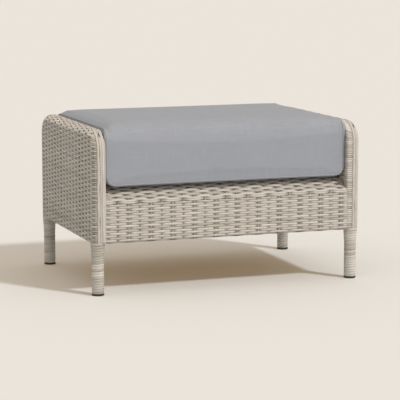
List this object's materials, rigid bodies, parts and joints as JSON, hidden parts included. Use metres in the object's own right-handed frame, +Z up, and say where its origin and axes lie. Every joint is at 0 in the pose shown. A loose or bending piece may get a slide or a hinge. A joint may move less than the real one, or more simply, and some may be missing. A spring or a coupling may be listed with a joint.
{
  "type": "outdoor ottoman footstool",
  "caption": "Woven resin ottoman on a tube frame with wound legs, raised side panels, a woven deck and a loose crowned canvas cushion with a rear zip.",
  "frame": {"origin": "on the ground, under the middle of the ottoman", "axes": "+X along the longest side, to the right of someone who stands in front; -Y is the front; +Z up"},
  "size_m": [0.7908, 0.5408, 0.467],
  "materials": {
    "powder_coat": "satin powder coat, warm grey, close to the strand's colour",
    "resin_strand": "flat extruded resin strand with fine grooves, greige with lighter and darker strands",
    "black_plastic": "moulded, matte",
    "grey_canvas": "plain woven outdoor canvas, mid grey",
    "foam": "open-cell foam",
    "zip_tape": "woven tape with moulded coil teeth",
    "zip_metal": "satin die-cast zinc"
  },
  "bodies": {
    "frame": {"left_hoop": "powder_coat", "right_hoop": "powder_coat", "left_lower_rail": "powder_coat", "right_lower_rail": "powder_coat", "left_seat_rail": "powder_coat", "right_seat_rail": "powder_coat", "front_lower_rail": "powder_coat", "rear_lower_rail": "powder_coat", "front_seat_rail": "powder_coat", "rear_seat_rail": "powder_coat", "front_deck_rail": "powder_coat", "rear_deck_rail": "powder_coat", "deck_slat_1": "powder_coat", "deck_slat_2": "powder_coat", "deck_slat_3": "powder_coat", "left_panel_weave": "resin_strand", "right_panel_weave": "resin_strand", "front_apron_weave": "resin_strand", "rear_apron_weave": "resin_strand", "deck_weave": "resin_strand", "front_left_leg_winding": "resin_strand", "front_right_leg_winding": "resin_strand", "rear_left_leg_winding": "resin_strand", "rear_right_leg_winding": "resin_strand", "front_left_foot_cap": "black_plastic", "front_right_foot_cap": "black_plastic", "rear_left_foot_cap": "black_plastic", "rear_right_foot_cap": "black_plastic"},
    "cushion": {"cushion_cover": "grey_canvas", "cushion_core": "foam", "cushion_zip": "zip_tape"},
    "zip_slider": {"zip_slider": "zip_metal"},
    "zip_pull": {"zip_pull": "zip_metal"}
  },
  "joints": [
    {"name": "cushion_lift", "type": "slide", "parent": "frame", "child": "cushion", "axis": [0, 0, 1], "range_m": [0, 0.3]},
    {"name": "zip_slide", "type": "slide", "parent": "cushion", "child": "zip_slider", "axis": [1, 0, 0], "range_m": [0, 0.576]},
    {"name": "zip_pull_turn", "type": "hinge", "parent": "zip_slider", "child": "zip_pull", "pos_m": [-0.2885, 0.25415, 0.372], "axis": [0, 0, 1], "range_deg": [-175, 0]}
  ]
}
